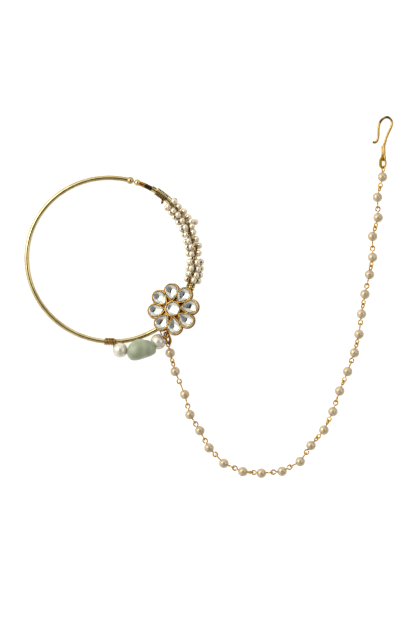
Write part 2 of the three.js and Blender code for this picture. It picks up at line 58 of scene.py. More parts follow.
def pick(*pieces):
    if bpy.context.mode != "OBJECT":
        bpy.ops.object.mode_set(mode="OBJECT")
    bpy.ops.object.select_all(action="DESELECT")
    for piece in pieces:
        piece.select_set(True)
    if pieces:
        bpy.context.view_layer.objects.active = pieces[0]


def setAt(piece, place):
    pick(piece)
    piece.matrix_world = place
    bpy.ops.object.transform_apply(location=True, rotation=True, scale=True)
    return piece


def copyTo(master, name, place):
    pick(master)
    bpy.ops.object.duplicate()
    piece = bpy.context.object
    piece.name = name
    return setAt(piece, place)


def joinAs(name, pieces):
    pick(*pieces)
    bpy.ops.object.join()
    pieces[0].name = name
    return pieces[0]


def drop(*pieces):
    pick(*pieces)
    bpy.ops.object.delete()


def modify(piece, kind, **settings):
    bpy.ops.object.modifier_add(type=kind)
    modifier = piece.modifiers[-1]
    for name, value in settings.items():
        setattr(modifier, name, value)
    bpy.ops.object.modifier_apply(modifier=modifier.name)


def selectOnly(piece, kind, chosen):
    # kind is FACE or VERT; the piece is left in edit mode
    bpy.ops.object.mode_set(mode="EDIT")
    bpy.ops.mesh.select_mode(type=kind)
    bpy.ops.mesh.select_all(action="DESELECT")
    bpy.ops.object.mode_set(mode="OBJECT")
    for part in piece.data.polygons if kind == "FACE" else piece.data.vertices:
        part.select = chosen(part)
    bpy.ops.object.mode_set(mode="EDIT")


def editAll():
    bpy.ops.object.mode_set(mode="EDIT")
    bpy.ops.mesh.select_all(action="SELECT")


def extrude(x=0, z=0):
    bpy.ops.mesh.extrude_region_move(TRANSFORM_OT_translate={"value": (x, 0, z)})


def smoothBelow(angle):
    bpy.ops.object.mode_set(mode="OBJECT")
    bpy.ops.object.shade_smooth_by_angle(angle=radians(angle))


def finishPiece(piece, node, material=None):
    if material:
        piece.data.materials.append(material)
    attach(piece, "root")
    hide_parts(node)


# Shapes that come back

def curveThrough(name, points, closed=False, cornerAt=None):
    # a smooth curve through points, with a sharp corner at one if cornerAt is given
    pick()
    bpy.ops.curve.primitive_bezier_curve_add(location=(0, 0, 0))
    curve = bpy.context.object
    curve.name = name
    spline = curve.data.splines[0]
    spline.bezier_points.add(len(points) - 2)
    spline.use_cyclic_u = closed
    for i, (knot, place) in enumerate(zip(spline.bezier_points, points)):
        knot.co = place
        knot.handle_left_type = knot.handle_right_type = "VECTOR" if i == cornerAt else "AUTO"
    return curve


def bentWire(name, points, thickness, rounding=2, steps=3, closed=False):
    wire = curveThrough(name, points, closed)
    wire.data.resolution_u = steps
    wire.data.bevel_depth = thickness / 2 * mm
    wire.data.bevel_resolution = rounding
    wire.data.use_fill_caps = not closed
    bpy.ops.object.convert(target="MESH")
    smoothBelow(50)
    return bpy.context.object


def circle(radius, middle):
    # twelve points round a level circle
    turns = [i * pi / 6 for i in range(12)]
    return [(Vector(middle) + Vector((cos(turn), sin(turn), 0)) * radius) * mm for turn in turns]


def ballAlongX(name, radius, segments, rings):
    # a ball with its poles on X
    pick()
    bpy.ops.mesh.primitive_uv_sphere_add(
        segments=segments, ring_count=rings, radius=radius,
        location=(0, 0, 0), rotation=(0, radians(90), 0))
    ball = bpy.context.object
    ball.name = name
    bpy.ops.object.transform_apply(location=True, rotation=True, scale=True)
    return ball


# Nodes of the materials

def colour(code):
    parts = [int(code[i:i + 2], 16) / 255 for i in (1, 3, 5)]
    return [*(p / 12.92 if p <= 0.04045 else ((p + 0.055) / 1.055) ** 2.4 for p in parts), 1]


def connect(tree, node, links):
    for socket, source in links.items():
        tree.links.new(source, node.inputs[socket])


def addNode(tree, kind, settings={}, inputs={}, links={}):
    node = tree.nodes.new(kind)
    for name, value in settings.items():
        setattr(node, name, value)
    for socket, value in inputs.items():
        node.inputs[socket].default_value = value
    connect(tree, node, links)
    return node


def newMaterial(name, settings):
    material = bpy.data.materials.new(name)
    material.use_nodes = True
    tree = material.node_tree
    shader = tree.nodes["Principled BSDF"]
    for socket, value in settings.items():
        shader.inputs[socket].default_value = value
    place = addNode(tree, "ShaderNodeTexCoord").outputs["Object"]
    return material, tree, shader, place


def noise(tree, place, size, detail=2, roughness=0.5):
    # patches about size millimetres wide
    inputs = {"Scale": 1 / (size * mm), "Detail": detail, "Roughness": roughness}
    return addNode(tree, "ShaderNodeTexNoise", inputs=inputs, links={"Vector": place}).outputs["Fac"]


def remap(tree, value, start=0, end=1, low=0, high=1, ease="LINEAR"):
    # low where the value is at start, high where it is at end
    inputs = {"From Min": start, "From Max": end, "To Min": low, "To Max": high}
    node = addNode(tree, "ShaderNodeMapRange", {"interpolation_type": ease}, inputs, {"Value": value})
    return node.outputs[0]


def mixed(tree, share, one, other):
    # one where the share is 0, other where it is 1: each a hex code or a node's colour
    node = addNode(tree, "ShaderNodeMix", {"data_type": "RGBA"}, links={0: share})
    for socket, source in ((6, one), (7, other)):
        if isinstance(source, str):
            node.inputs[socket].default_value = colour(source)
        else:
            tree.links.new(source, node.inputs[socket])
    return node.outputs[2]


def maths(tree, operation, *terms):
    node = addNode(tree, "ShaderNodeMath", {"operation": operation})
    for socket, term in zip(node.inputs, terms):
        if isinstance(term, (int, float)):
            socket.default_value = term
        else:
            tree.links.new(term, socket)
    return node.outputs[0]


def vectorMaths(tree, operation, place, vector):
    node = addNode(tree, "ShaderNodeVectorMath", {"operation": operation}, {1: vector}, {0: place})
    return node.outputs["Vector" if operation == "SUBTRACT" else "Value"]


def sidesOf(tree, place):
    return addNode(tree, "ShaderNodeSeparateXYZ", links={"Vector": place}).outputs


def relief(tree, height, strength, depth):
    inputs = {"Strength": strength, "Distance": depth * mm}
    return addNode(tree, "ShaderNodeBump", inputs=inputs, links={"Height": height}).outputs[0]


# The hoop lies a little askew: on its wire at the left, on its pearl sleeve at the right.
hoop = {
    "long": 54.8, "short": 53.0, "axis": -17.7, "wire": 1.56,
    "middle": (-31.802, 12.099, 2.027), "tilt": 2.5575, "raised": 15,
    # the wire runs once round from its ball to its end inside the cap, through a knot at every step
    "ball": 2.4, "ballAt": 76.1, "neck": 0.4, "end": 62.6, "step": 3.6,
    # a nub of solder: angle and distance out
    "solder": [(166.3, 0.52), (165.6, 0.68), (164.9, 0.52)], "solderWire": 0.5,
    # painted shade under the wraps and a painted dark reflection beside the cap: from, to, how dark
    "paintedDarkening": [(59.6, 65.4, 1.0), (47.2, 56.0, 0.75), (-94.4, -86.4, 0.8)],
}
raised = radians(hoop["raised"])
hoopFrame = (
    Matrix.Translation(Vector(hoop["middle"]) * mm)
    @ spun(hoop["tilt"], Vector((sin(raised), -cos(raised), 0)))
)


def onHoop(angle, out=0, height=0):
    turn, fromAxis = radians(angle), radians(angle - hoop["axis"])
    long, short = hoop["long"] / 2, hoop["short"] / 2
    reach = long * short / hypot(short * cos(fromAxis), long * sin(fromAxis)) + out
    return hoopFrame @ (Vector((cos(turn) * reach, sin(turn) * reach, height)) * mm)


def roundHoop(angle, direction, out):
    # a point round the hoop's wire: direction 0 is outward, 90 is up
    turn = radians(direction)
    return onHoop(angle, cos(turn) * out, sin(turn) * out)


def alongHoop(angle):
    return (onHoop(angle + 0.5) - onHoop(angle - 0.5)).normalized()


def axesAt(place, along, side):
    # a matrix that sets a piece made along its own X at a place, with its own Y nearest to side
    x = along.normalized()
    z = x.cross(side).normalized()
    y = z.cross(x)
    return Matrix.Translation(place) @ Matrix((x, y, z)).transposed().to_4x4()


# Strand of three beads: where the wire enters and leaves each, as angle, distance out and height
strand = {
    "holes": [
        [(-88.0, 2.13, 0.33), (-80.0, 3.71, 2.37)],
        [(-79.4, 3.95, 2.35), (-63.6, 4.75, 2.3)],
        [(-62.87, 4.56, 1.91), (-56.73, 3.04, -1.31)],
    ],
    "pearls": {"left": (0, 4.84), "right": (2, 5.0)},  # place in the strand, size
    "nugget": 1,
}
holeEnds = [[onHoop(*end) for end in ends] for ends in strand["holes"]]


def beadPlace(number):
    start, end = holeEnds[number]
    return axesAt((start + end) / 2, end - start, up.cross(end - start))


# The flower's own frame: +X away from the hoop's middle, +Z up through the stones.
flower = {
    "at": -38, "in": 1.1, "lift": 1.4562, "tilt": 11, "petals": 8, "turn": -1.3,
    "ring": 5.95, "width": 4.1, "point": 3.15, "centre": 4.4,
    "plate": 12.6, "plateThick": 1.2, "plateEdge": 0.12,
    "sleeve": 3.4, "sleeveHalf": 5,
    "eyeAt": 290.4, "eyeReach": 8.644, "eyeDown": 0.85, "eye": 1.6, "eyeWire": 0.7,
    # the neck of the eye starts inside the plate: distance past the plate's edge, height
    "neck": 0.7, "neckFrom": [(-0.7, 0.35), (0.2, 0.1)],
}
flowerFrame = (
    Matrix.Translation(onHoop(flower["at"], -flower["in"], flower["lift"]))
    @ hoopFrame.to_3x3().to_4x4()
    @ spun(flower["at"], "Z") @ spun(-flower["tilt"], "Y")
)
flowerUp = (flowerFrame.to_3x3() @ up).normalized()


# Finishes
goldEdge, paintedDarkBrown = "#A8864E", "#4A3823"  # tint of grazing reflections, dark brown of painted shade and painted reflections


def makePalePlatedBrass():
    # drawn brass wire under a thin pale gold plating: mirror-like, with soft tarnish where it was handled
    settings = {"Metallic": 1, "Specular Tint": colour(goldEdge)}
    material, tree, shader, place = newMaterial("palePlatedBrass", settings)
    tarnish = noise(tree, place, size=5, detail=5, roughness=0.62)
    base = mixed(tree, remap(tree, tarnish, 0.4, 0.72), "#D6C492", "#AE9660")
    # painted shade under the wraps and a painted dark reflection beside the cap, by the angle round the hoop's
    # middle
    sides = sidesOf(tree, vectorMaths(tree, "SUBTRACT", place, Vector(hoop["middle"]) * mm))
    angle = maths(tree, "ARCTAN2", sides["Y"], sides["X"])
    ragged = noise(tree, place, size=0.7, detail=3)
    for start, stop, depth in hoop["paintedDarkening"]:
        middle, reach = (start + stop) / 2, (stop - start) / 2
        away = maths(tree, "ABSOLUTE", maths(tree, "SUBTRACT", angle, radians(middle)))
        away = maths(tree, "MULTIPLY_ADD", ragged, radians(1.2), away)
        brown = remap(tree, away, radians(reach + 0.9), radians(reach + 0.4), high=depth)
        base = mixed(tree, brown, base, paintedDarkBrown)
    drawn = noise(tree, place, size=0.5, detail=3)
    connect(tree, shader, {
        "Base Color": base,
        "Roughness": remap(tree, tarnish, low=0.12, high=0.3),
        "Normal": relief(tree, drawn, strength=0.12, depth=0.03),
    })
    return material


def makeOrangePlatedBrass():
    # cast and soldered brass with a deep orange gold plating, old flux in its recesses and painted shade on the
    # walls below the rims
    material, tree, shader, place = newMaterial("orangePlatedBrass", {"Metallic": 1})
    wear = noise(tree, place, size=1.4, detail=4, roughness=0.6)
    gold = mixed(tree, remap(tree, wear, 0.36, 0.66), "#DCB25C", "#946A28")
    # height above the flower's back
    level = vectorMaths(tree, "DOT_PRODUCT", place, flowerUp)
    height = maths(tree, "SUBTRACT", level, flowerUp.dot(flowerFrame.translation))
    # painted shade: the walls below the rims are darker
    gold = mixed(tree, remap(tree, height, 2.35 * mm, 1.7 * mm, high=0.7), gold, "#7A5224")
    # the flux lies deep between the stones, not at the flower's edge or on its back
    deep = remap(tree, height, 2.2 * mm, 0.9 * mm)
    away = vectorMaths(tree, "DISTANCE", place, flowerFrame.translation)
    near = remap(tree, away, 7.6 * mm, 5.2 * mm)
    above = remap(tree, height, 0.3 * mm, 0.6 * mm)
    fluxed = maths(tree, "MULTIPLY", deep, maths(tree, "MULTIPLY", near, above))
    # and is darker towards the hoop's pearls than towards the chain
    flux = mixed(tree, remap(tree, sidesOf(tree, place)["Y"], -6.0 * mm, -3.4 * mm), "#F0983C", "#7A3816")
    grain = noise(tree, place, size=0.35, detail=3)
    connect(tree, shader, {
        "Base Color": mixed(tree, fluxed, gold, flux),
        "Metallic": remap(tree, fluxed, low=1, high=0.3),
        "Roughness": remap(tree, wear, low=0.16, high=0.36),
        "Normal": relief(tree, grain, strength=0.25, depth=0.05),
    })
    return material


def makeJewellersWire(name, light, shade, paintedDarkening=()):
    # gold-plated brass wire or strip, scuffed by the pliers, in darker shades where it is worn, aged or heated;
    # dark spots laid on it are painted reflections
    material, tree, shader, place = newMaterial(name, {"Metallic": 1, "Specular Tint": colour(goldEdge)})
    scuffs = noise(tree, place, size=0.9, detail=4, roughness=0.6)
    gold = mixed(tree, scuffs, light, shade)
    for middle, reach in paintedDarkening:  # spots of painted dark reflection
        away = vectorMaths(tree, "DISTANCE", place, Vector(middle) * mm)
        gold = mixed(tree, remap(tree, away, reach * mm, reach * 0.6 * mm, high=0.85), gold, paintedDarkBrown)
    connect(tree, shader, {
        "Base Color": gold,
        "Roughness": remap(tree, scuffs, low=0.1, high=0.28),
        "Normal": relief(tree, scuffs, strength=0.2, depth=0.03),
    })
    return material


def makeBindingWire():
    # old brass binding wire, brown in patches
    material, tree, shader, place = newMaterial("brownedBindingWire", {"Metallic": 1})
    brown = noise(tree, place, size=1.2, detail=4)
    connect(tree, shader, {
        "Base Color": mixed(tree, brown, "#BE9850", "#6E4C22"),
        "Roughness": remap(tree, brown, low=0.2, high=0.4),
    })
    return material


def makeNacre(name, light, shade, edge, patch, gleam, skin):
    # pearl essence over a glass core: a soft metallic gleam, a faint cloudiness and very fine waves
    material, tree, shader, place = newMaterial(name, {
        "Metallic": gleam, "IOR": 1.53, "Specular Tint": colour(edge),
        "Coat Weight": skin, "Coat Roughness": 0.08,
        "Subsurface Weight": 0.05, "Subsurface Radius": (1.0, 0.9, 0.75), "Subsurface Scale": 0.5 * mm,
    })
    cloud = noise(tree, place, patch, detail=4, roughness=0.6)
    connect(tree, shader, {
        "Base Color": mixed(tree, remap(tree, cloud, 0.35, 0.68), light, shade),
        "Roughness": remap(tree, cloud, low=0.24, high=0.34),
        "Normal": relief(tree, cloud, strength=0.1, depth=0.04),
    })
    return material


def makeDrilledEdge():
    # the inside of a pearl's hole: bare core stained brown by the wire
    material, tree, shader, place = newMaterial("drilledPearlCore", {"Roughness": 0.7})
    connect(tree, shader, {"Base Color": mixed(tree, noise(tree, place, size=0.3), "#A5601E", "#6A3410")})
    return material


def makeTumbledAventurine():
    # pale green quartz, tumbled and waxed: cloudy bands under a satin skin
    material, tree, shader, place = newMaterial("tumbledAventurine", {
        "Roughness": 0.4, "IOR": 1.54, "Coat Weight": 0.1, "Coat Roughness": 0.3,
        "Subsurface Weight": 0.2, "Subsurface Radius": (0.8, 1.0, 0.7), "Subsurface Scale": 1.0 * mm,
    })
    # bands 2.3 mm apart lie round a point inside the nugget and drift a little
    core = beadPlace(strand["nugget"]) @ (Vector((-1.4, 0.3, 1.2)) * mm)
    away = vectorMaths(tree, "DISTANCE", place, core)
    layer = maths(tree, "MULTIPLY_ADD", noise(tree, place, size=4), 3.2 * mm, away)
    bands = maths(tree, "SINE", maths(tree, "MULTIPLY", layer, 2 * pi / (2.3 * mm)))
    skin = noise(tree, place, size=0.8, detail=4)
    connect(tree, shader, {
        "Base Color": mixed(tree, remap(tree, bands, -1, 1), "#8F9678", "#A0A689"),
        "Normal": relief(tree, skin, strength=0.15, depth=0.05),
    })
    return material


def makeCutGlass():
    # cut and fire-polished glass, faintly grey in its thickness
    material, tree, shader, place = newMaterial("cutGlass", {"IOR": 1.52, "Transmission Weight": 1})
    haze = noise(tree, place, size=2)
    connect(tree, shader, {
        "Base Color": mixed(tree, haze, "#FAF9F5", "#EEEDE5"),
        "Roughness": remap(tree, haze, low=0.01, high=0.05),
    })
    return material


def makeSilverFoil():
    # thin burnished silver foil pressed behind the glass, slightly crumpled
    material, tree, shader, place = newMaterial("silverFoil", {"Metallic": 1})
    crumple = noise(tree, place, size=0.9, detail=3, roughness=0.6)
    connect(tree, shader, {
        "Base Color": mixed(tree, crumple, "#E0E0D8", "#C0C2B8"),
        "Roughness": remap(tree, crumple, low=0.06, high=0.16),
        "Normal": relief(tree, crumple, strength=0.03, depth=0.08),
    })
    return material


palePlatedBrass = makePalePlatedBrass()
orangePlatedBrass = makeOrangePlatedBrass()
chainWire = makeJewellersWire("chainWire", "#E0B85E", "#AE8436")
wornGold = makeJewellersWire("wornGold", "#C8983E", "#7C521E")
heatTintedBrass = makeJewellersWire("heatTintedBrass", "#D2923C", "#84501E")
agedWire = makeJewellersWire("agedWire", "#96763E", "#503A1C")
paleWire = makeJewellersWire("paleWire", "#E8D69C", "#BCA266")
ringPlate = makeJewellersWire("ringPlate", "#E6C05A", "#B58C32")
# painted dark reflections on the top of the ear hook's bend: middle and reach
hookDarkReflections = [((58.15, 58.3, 0.4), 0.95), ((55.85, 57.3, 0.4), 1.1)]
hookWire = makeJewellersWire("hookWire", "#D8B86E", "#967438", hookDarkReflections)
bindingWire = makeBindingWire()
ivoryNacre = makeNacre("ivoryNacre", "#E2DDCD", "#CEC7B2", "#8E7850", patch=1.5, gleam=0.5, skin=0.25)
seedNacre = makeNacre("seedNacre", "#ECE2CC", "#D6C6A2", "#6E4A1C", patch=0.9, gleam=0.72, skin=0.5)
champagneNacre = makeNacre("champagneNacre", "#CEBD9E", "#B8A482", "#6E5228", patch=1.2, gleam=0.5, skin=0.2)
drilledCore = makeDrilledEdge()
tumbledAventurine = makeTumbledAventurine()
cutGlass = makeCutGlass()
silverFoil = makeSilverFoil()
say("finishes mixed")


# Hoop: wire, and a ball soldered on its left end. A neck is drawn out of the ball in two runs.
ballNeck = {"from": 0.8, "about": 0.9, "secondRun": 0.3, "flatten": 0.2, "widen": 1.06}  # from and about: radii


def makeBallEnd(name, angle, size, towards, firstRun):
    radius = size / 2 * mm
    ball = ballAlongX(name, radius, segments=32, rings=20)
    selectOnly(ball, "FACE", lambda face: face.center.x > radius * ballNeck["from"])
    squeeze = (ballNeck["flatten"], ballNeck["widen"], ballNeck["widen"])
    for run in (firstRun * mm, ballNeck["secondRun"] * mm):
        extrude(x=run)
        bpy.ops.transform.resize(value=squeeze, center_override=(radius * ballNeck["about"] + run, 0, 0))
    smoothBelow(60)
    return setAt(ball, axesAt(onHoop(angle), alongHoop(angle) * towards, up))


knots = int((hoop["end"] + 360 - hoop["ballAt"]) / hoop["step"]) + 1
hoopAngles = [hoop["ballAt"] + i * hoop["step"] for i in range(knots)] + [hoop["end"] + 360]
hoopWire = bentWire("hoop_wire", [onHoop(a) for a in hoopAngles], hoop["wire"], rounding=6, steps=4)
leftBall = makeBallEnd("hoop_ball", hoop["ballAt"], hoop["ball"], 1, hoop["neck"])
solder = bentWire("hoop_solder", [onHoop(*place) for place in hoop["solder"]], hoop["solderWire"])
finishPiece(joinAs("nath_hoop", [hoopWire, leftBall, solder]), "hoop", palePlatedBrass)

# End cap: a pale ball, an orange collar that ends in a bright lip, and the stub beyond it, darkened by a
# painted dark reflection
endCap = {
    "ball": 2.1, "ballAt": 70.9, "neck": 0.05, "collar": (69.9, 65.6), "collarWire": 1.52,
    "lipAt": 65.8, "lip": 1.58, "lipWire": 0.26, "stub": (66.0, 64.4, 63.5, hoop["end"]),
}
capBall = makeBallEnd("cap_ball", endCap["ballAt"], endCap["ball"], -1, endCap["neck"])
collarPoints = [onHoop(a) for a in evenly(*endCap["collar"], 6)]
capCollar = bentWire("cap_collar", collarPoints, endCap["collarWire"], rounding=6)
capStub = bentWire("cap_stub", [onHoop(a) for a in endCap["stub"]], hoop["wire"], rounding=6)
lipPoints = [roundHoop(endCap["lipAt"], i * 30, endCap["lip"] / 2) for i in range(12)]
capLip = bentWire("cap_lip", lipPoints, endCap["lipWire"], closed=True)
finishPiece(joinAs("nath_end_cap", [capCollar, capLip]), "hoop_end_cap", heatTintedBrass)
finishPiece(joinAs("nath_cap_ball", [capBall, capStub]), "hoop_end_cap", palePlatedBrass)
say("hoop and its end cap bent")

# Binding wires round the hoop
binding = {
    "wire": 0.4, "perTurn": 8,
    # wraps: from, to, turns, first direction, distance out
    "top": (55.9, 47.9, 6.5, 180, 0.99), "underSleeve": (47.9, -20.5, 4.25, 180, 1.01),
    "foot": (-94.1, -87.0, 6.5, -45, 1.09), "byFlower": (-55.2, -52.2, 3, -30, 0.99),
    "tail": [(48.9, -0.9, 0.1), (48.3, -1.3, 0.4), (47.8, -1.65, 0.4), (47.9, -1.9, 0.2)], "tailWire": 0.76,
    # two strands climb over the top wrap at its start
    "over": {"from": 60, "to": 44, "climb": 56.5, "low": 0.98, "high": 1.36, "sides": (22, 62), "wire": 0.42},
    # below the sleeve, pairs of wires twisted round each other run along the hoop
    "pairs": {"from": -14.5, "to": -21, "out": 1.14, "turns": 2.3, "sides": (28, 96, 160)},
}


def wrapPoints(start, end, turns, firstTurn, out):
    count = round(turns * binding["perTurn"]) + 1
    directions = evenly(firstTurn, firstTurn + 360 * turns, count)
    return [roundHoop(angle, turn, out) for angle, turn in zip(evenly(start, end, count), directions)]


def overStrand(side):
    over = binding["over"]
    points = [
        roundHoop(angle, side, over["low"] if angle > over["climb"] else over["high"])
        for angle in range(over["from"], over["to"] - 1, -1)
    ]
    return bentWire("strand_over_wrap", points, over["wire"])


def twistedPair(direction):
    pairs, half = binding["pairs"], binding["wire"] / 2
    count = round(pairs["turns"] * binding["perTurn"]) + 1
    strands = []
    for side in (0, pi):
        points = []
        turns = evenly(side, side + 2 * pi * pairs["turns"], count)
        for angle, turn in zip(evenly(pairs["from"], pairs["to"], count), turns):
            aside = degrees(sin(turn) * half / pairs["out"])
            points.append(roundHoop(angle, direction + aside, pairs["out"] + cos(turn) * half))
        strands.append(bentWire("strand", points, binding["wire"], rounding=1, steps=2))
    return strands


topPoints = wrapPoints(*binding["top"]) + wrapPoints(*binding["underSleeve"])[1:]
pearlWire = bentWire("pearl_wrap", topPoints, binding["wire"])
pearlTail = bentWire("pearl_wire_tail", [onHoop(*place) for place in binding["tail"]], binding["tailWire"])
finishPiece(joinAs("nath_top_wrap", [pearlWire, pearlTail]), "pearl_wire", agedWire)
strands = [overStrand(side) for side in binding["over"]["sides"]]
for side in binding["pairs"]["sides"]:
    strands += twistedPair(side)
finishPiece(joinAs("nath_pearl_wire", strands), "pearl_wire", paleWire)

# One wire wraps the foot of the hoop, runs through the three beads and ends round the hoop by the flower
through = [start.lerp(end, share) for start, end in holeEnds for share in (0, 0.1, 0.35, 0.65, 0.9, 1)]
beadPoints = wrapPoints(*binding["foot"]) + through + wrapPoints(*binding["byFlower"])
finishPiece(bentWire("nath_bead_wire", beadPoints, binding["wire"]), "bead_wire", bindingWire)
say("binding wires wrapped")

# Drilled pearls, one unit in radius, with the hole along X. Its edge is rounded inward before it goes deep.
drilled = {"edgeDepth": 0.06, "edgeShare": 0.82, "depth": 0.4, "waves": 0.7}


def makeDrilledPearl(name, nacre, hole, segments, rings, unevenness=0):
    pearl = ballAlongX(name, 1, segments, rings)
    reach = sqrt(1 - hole * hole)
    for side in (1, -1):
        editAll()
        bpy.ops.mesh.bisect(
            plane_co=(side * reach, 0, 0), plane_no=(side, 0, 0), threshold=1e-5,
            clear_outer=True, use_fill=True)
        selectOnly(pearl, "FACE", lambda face: face.center.x * side > reach - 0.001)
        extrude(x=-side * drilled["edgeDepth"])
        narrow = (1, drilled["edgeShare"], drilled["edgeShare"])
        bpy.ops.transform.resize(value=narrow, center_override=(side * reach, 0, 0))
        extrude(x=-side * drilled["depth"])
        bpy.ops.object.mode_set(mode="OBJECT")
    pearl.data.materials.append(nacre)
    pearl.data.materials.append(drilledCore)
    for face in pearl.data.polygons:
        inHole = all(hypot(*pearl.data.vertices[v].co.yz) < hole * 1.02 for v in face.vertices)
        face.material_index = 1 if inHole else 0
    if unevenness:
        waves = bpy.data.textures.new(name + "Waves", "CLOUDS")
        waves.noise_scale = drilled["waves"]
        modify(pearl, "DISPLACE", texture=waves, strength=unevenness)
    smoothBelow(40)
    return pearl


strandMaster = makeDrilledPearl(
    "strand_pearl_master", ivoryNacre, hole=0.15, segments=48, rings=28, unevenness=0.03)
for side, (number, size) in strand["pearls"].items():
    pearl = copyTo(strandMaster, "nath_pearl_" + side, beadPlace(number) @ Matrix.Scale(size / 2 * mm, 4))
    finishPiece(pearl, "pearl_bead_" + side)
drop(strandMaster)

# Green nugget, tumbled smooth: its outline at places along it, as (place, one side, other side)
nugget = {
    "thick": 0.92,
    "outline": [
        (-4.64, -0.6, 0.1), (-4.6, -0.6, 0.1), (-4.4, -1.8, 0.9), (-3.85, -2.6, 1.8), (-3.0, -2.98, 2.6),
        (-2.1, -3.12, 3.2), (-1.0, -3.1, 3.6), (0.1, -2.98, 3.66), (1.1, -2.85, 3.38), (2.0, -2.72, 2.98),
        (2.9, -2.6, 2.66), (3.7, -2.42, 2.2), (4.35, -2.1, 1.5), (4.75, -1.6, 0.75), (4.95, -0.8, -0.1),
        (4.99, -0.8, -0.1),
    ],
}
nuggetBead = ballAlongX("nath_green_nugget", 1 * mm, segments=32, rings=len(nugget["outline"]) - 1)
# each ring of the ball is widened and moved to its place, and its two poles, single points, are moved
ballRings = {}
for vertex in nuggetBead.data.vertices:
    ballRings.setdefault(round(vertex.co.x / mm, 2), []).append(vertex.index)
for (_, ring), (along, low, high) in zip(sorted(ballRings.items()), nugget["outline"]):
    start = nuggetBead.data.vertices[ring[0]].co.copy()
    selectOnly(nuggetBead, "VERT", lambda vertex: vertex.index in ring)
    if len(ring) > 1:
        across = (high - low) / 2 * mm / start.yz.length
        bpy.ops.transform.resize(value=(1, across, across * nugget["thick"]), center_override=(start.x, 0, 0))
    bpy.ops.transform.translate(value=(along * mm - start.x, (high + low) / 2 * mm, 0))
    bpy.ops.object.mode_set(mode="OBJECT")
modify(nuggetBead, "SUBSURF", levels=1, render_levels=1)
smoothBelow(80)
setAt(nuggetBead, beadPlace(strand["nugget"]))
finishPiece(nuggetBead, "green_bead", tumbledAventurine)
say("pearls drilled and the nugget tumbled")

# Seed pearls: rows strung round the hoop. Each pearl is (direction round the hoop's wire, distance out).
sleeve = {
    "pearl": 2.04, "oval": (0.94, 1.06), "wire": 0.36,
    # how far each pearl strays: along the hoop, round it, in size, and in lean (radians)
    "stray": {"along": 0.3, "round": 2, "size": (0.95, 1.03), "lean": 0.15},
    # where a row stands open its wire goes down to the hoop: share of the gap, distance out
    "openGap": 68, "dip": [(0.3, 1.45), (0.5, 1.1), (0.7, 1.45)], "taut": 0.95,
    # angle on the hoop, then the pearls of that row
    "rows": [
        (42.5, [(52, 2.0), (124, 2.05), (186, 1.95), (250, 1.95), (318, 1.95)]),
        (38.0, [(49, 2.0), (112, 2.05), (174, 1.97), (237, 2.0), (303, 2.0)]),
        (33.3, [(30, 2.05), (103, 2.1), (165, 1.97), (228, 2.0), (299, 2.0)]),
        (28.7, [(28, 2.05), (99, 2.1), (161, 1.97), (224, 2.0), (296, 2.0)]),
        (23.4, [(2, 2.05), (102, 2.08), (163, 1.97), (225, 2.0), (294, 2.0)]),
        (18.4, [(50, 2.0), (120, 2.05), (182, 1.97), (244, 2.0), (307, 2.0)]),
        (13.6, [(40, 2.05), (114, 2.05), (176, 1.97), (238, 2.0), (302, 2.0)]),
        (9.0, [(24, 2.1), (107, 2.05), (169, 1.97), (231, 2.0), (296, 2.0)]),
        (4.3, [(42, 2.05), (111, 2.05), (173, 1.97), (235, 2.0), (300, 2.0)]),
        (-1.5, [(0, 2.05), (66, 2.08), (129, 2.05), (191, 1.97), (272, 2.0)]),
        (-5.8, [(-4, 2.05), (54, 2.08), (115, 2.08), (177, 1.97), (266, 2.0)]),
        (-10.0, [(0, 2.05), (64, 2.05), (125, 2.05), (188, 1.97), (273, 2.0)]),
        (-14.0, [(15, 2.05), (78, 2.05), (158, 1.97), (228, 2.0), (298, 2.0)]),
    ],
    # a few loose ones stand out over the right column: angle, direction, distance, turn of the hole
    "loose": [(25.3, 40, 2.75, 60), (23.9, 16, 3.3, 10), (22.3, 48, 2.5, 120)], "looseAlong": (1, 0.3, 0),
}
seedMaster = makeDrilledPearl("seed_pearl_master", seedNacre, hole=0.34, segments=20, rings=14)
dice = random.Random(11)


def stray(most):
    return dice.uniform(-most, most)


seedPieces, rowWires = [], []
for angle, pearls in sleeve["rows"]:
    ring = []
    for direction, out in pearls:
        spot = angle + stray(sleeve["stray"]["along"])
        turned = direction + stray(sleeve["stray"]["round"])
        size = sleeve["pearl"] / 2 * dice.uniform(*sleeve["stray"]["size"])
        lean = stray(sleeve["stray"]["lean"])
        centre = roundHoop(spot, turned, out)
        threaded = roundHoop(spot, turned + 5, out) - roundHoop(spot, turned - 5, out)
        place = axesAt(centre, threaded, alongHoop(angle)) @ Matrix.Rotation(lean, 4, "Y")
        # seed pearls are a little longer across their hole
        oval = Matrix.Diagonal((*sleeve["oval"], 1, 1))
        seedPieces.append(copyTo(seedMaster, "seed", place @ oval @ Matrix.Scale(size * mm, 4)))
        ring.append((turned, out))
    # the row's wire goes through each pearl and back to the first
    points = []
    for (turned, out), (following, _) in zip(ring, ring[1:] + [(ring[0][0] + 360, 0)]):
        gap = following - turned
        between = sleeve["dip"] if gap > sleeve["openGap"] else [(0.5, out * sleeve["taut"])]
        points.append(roundHoop(angle, turned, out))
        points += [roundHoop(angle, turned + gap * share, reach) for share, reach in between]
    rowWires.append(bentWire("row_wire", points, sleeve["wire"], rounding=1, steps=2, closed=True))
for angle, direction, out, turned in sleeve["loose"]:
    place = axesAt(roundHoop(angle, direction, out), Vector(sleeve["looseAlong"]), up) @ spun(turned, "Y")
    seedPieces.append(copyTo(seedMaster, "seed", place @ Matrix.Scale(sleeve["pearl"] / 2 * mm, 4)))
drop(seedMaster)
finishPiece(joinAs("nath_seed_pearls", seedPieces), "seed_pearls")
finishPiece(joinAs("nath_row_wires", rowWires), "seed_pearls", wornGold)
say("seed pearls strung in %d rows" % len(sleeve["rows"]))

# Flower: plate, nine collets, sleeve on the hoop, neck and eye
petalTurns = [flower["turn"] + i * 360 / flower["petals"] for i in range(flower["petals"])]
petalPlaces = [flowerFrame @ spun(turn, "Z") for turn in petalTurns]


def inFlower(x, y, z):
    return flowerFrame @ (Vector((x, y, z)) * mm)


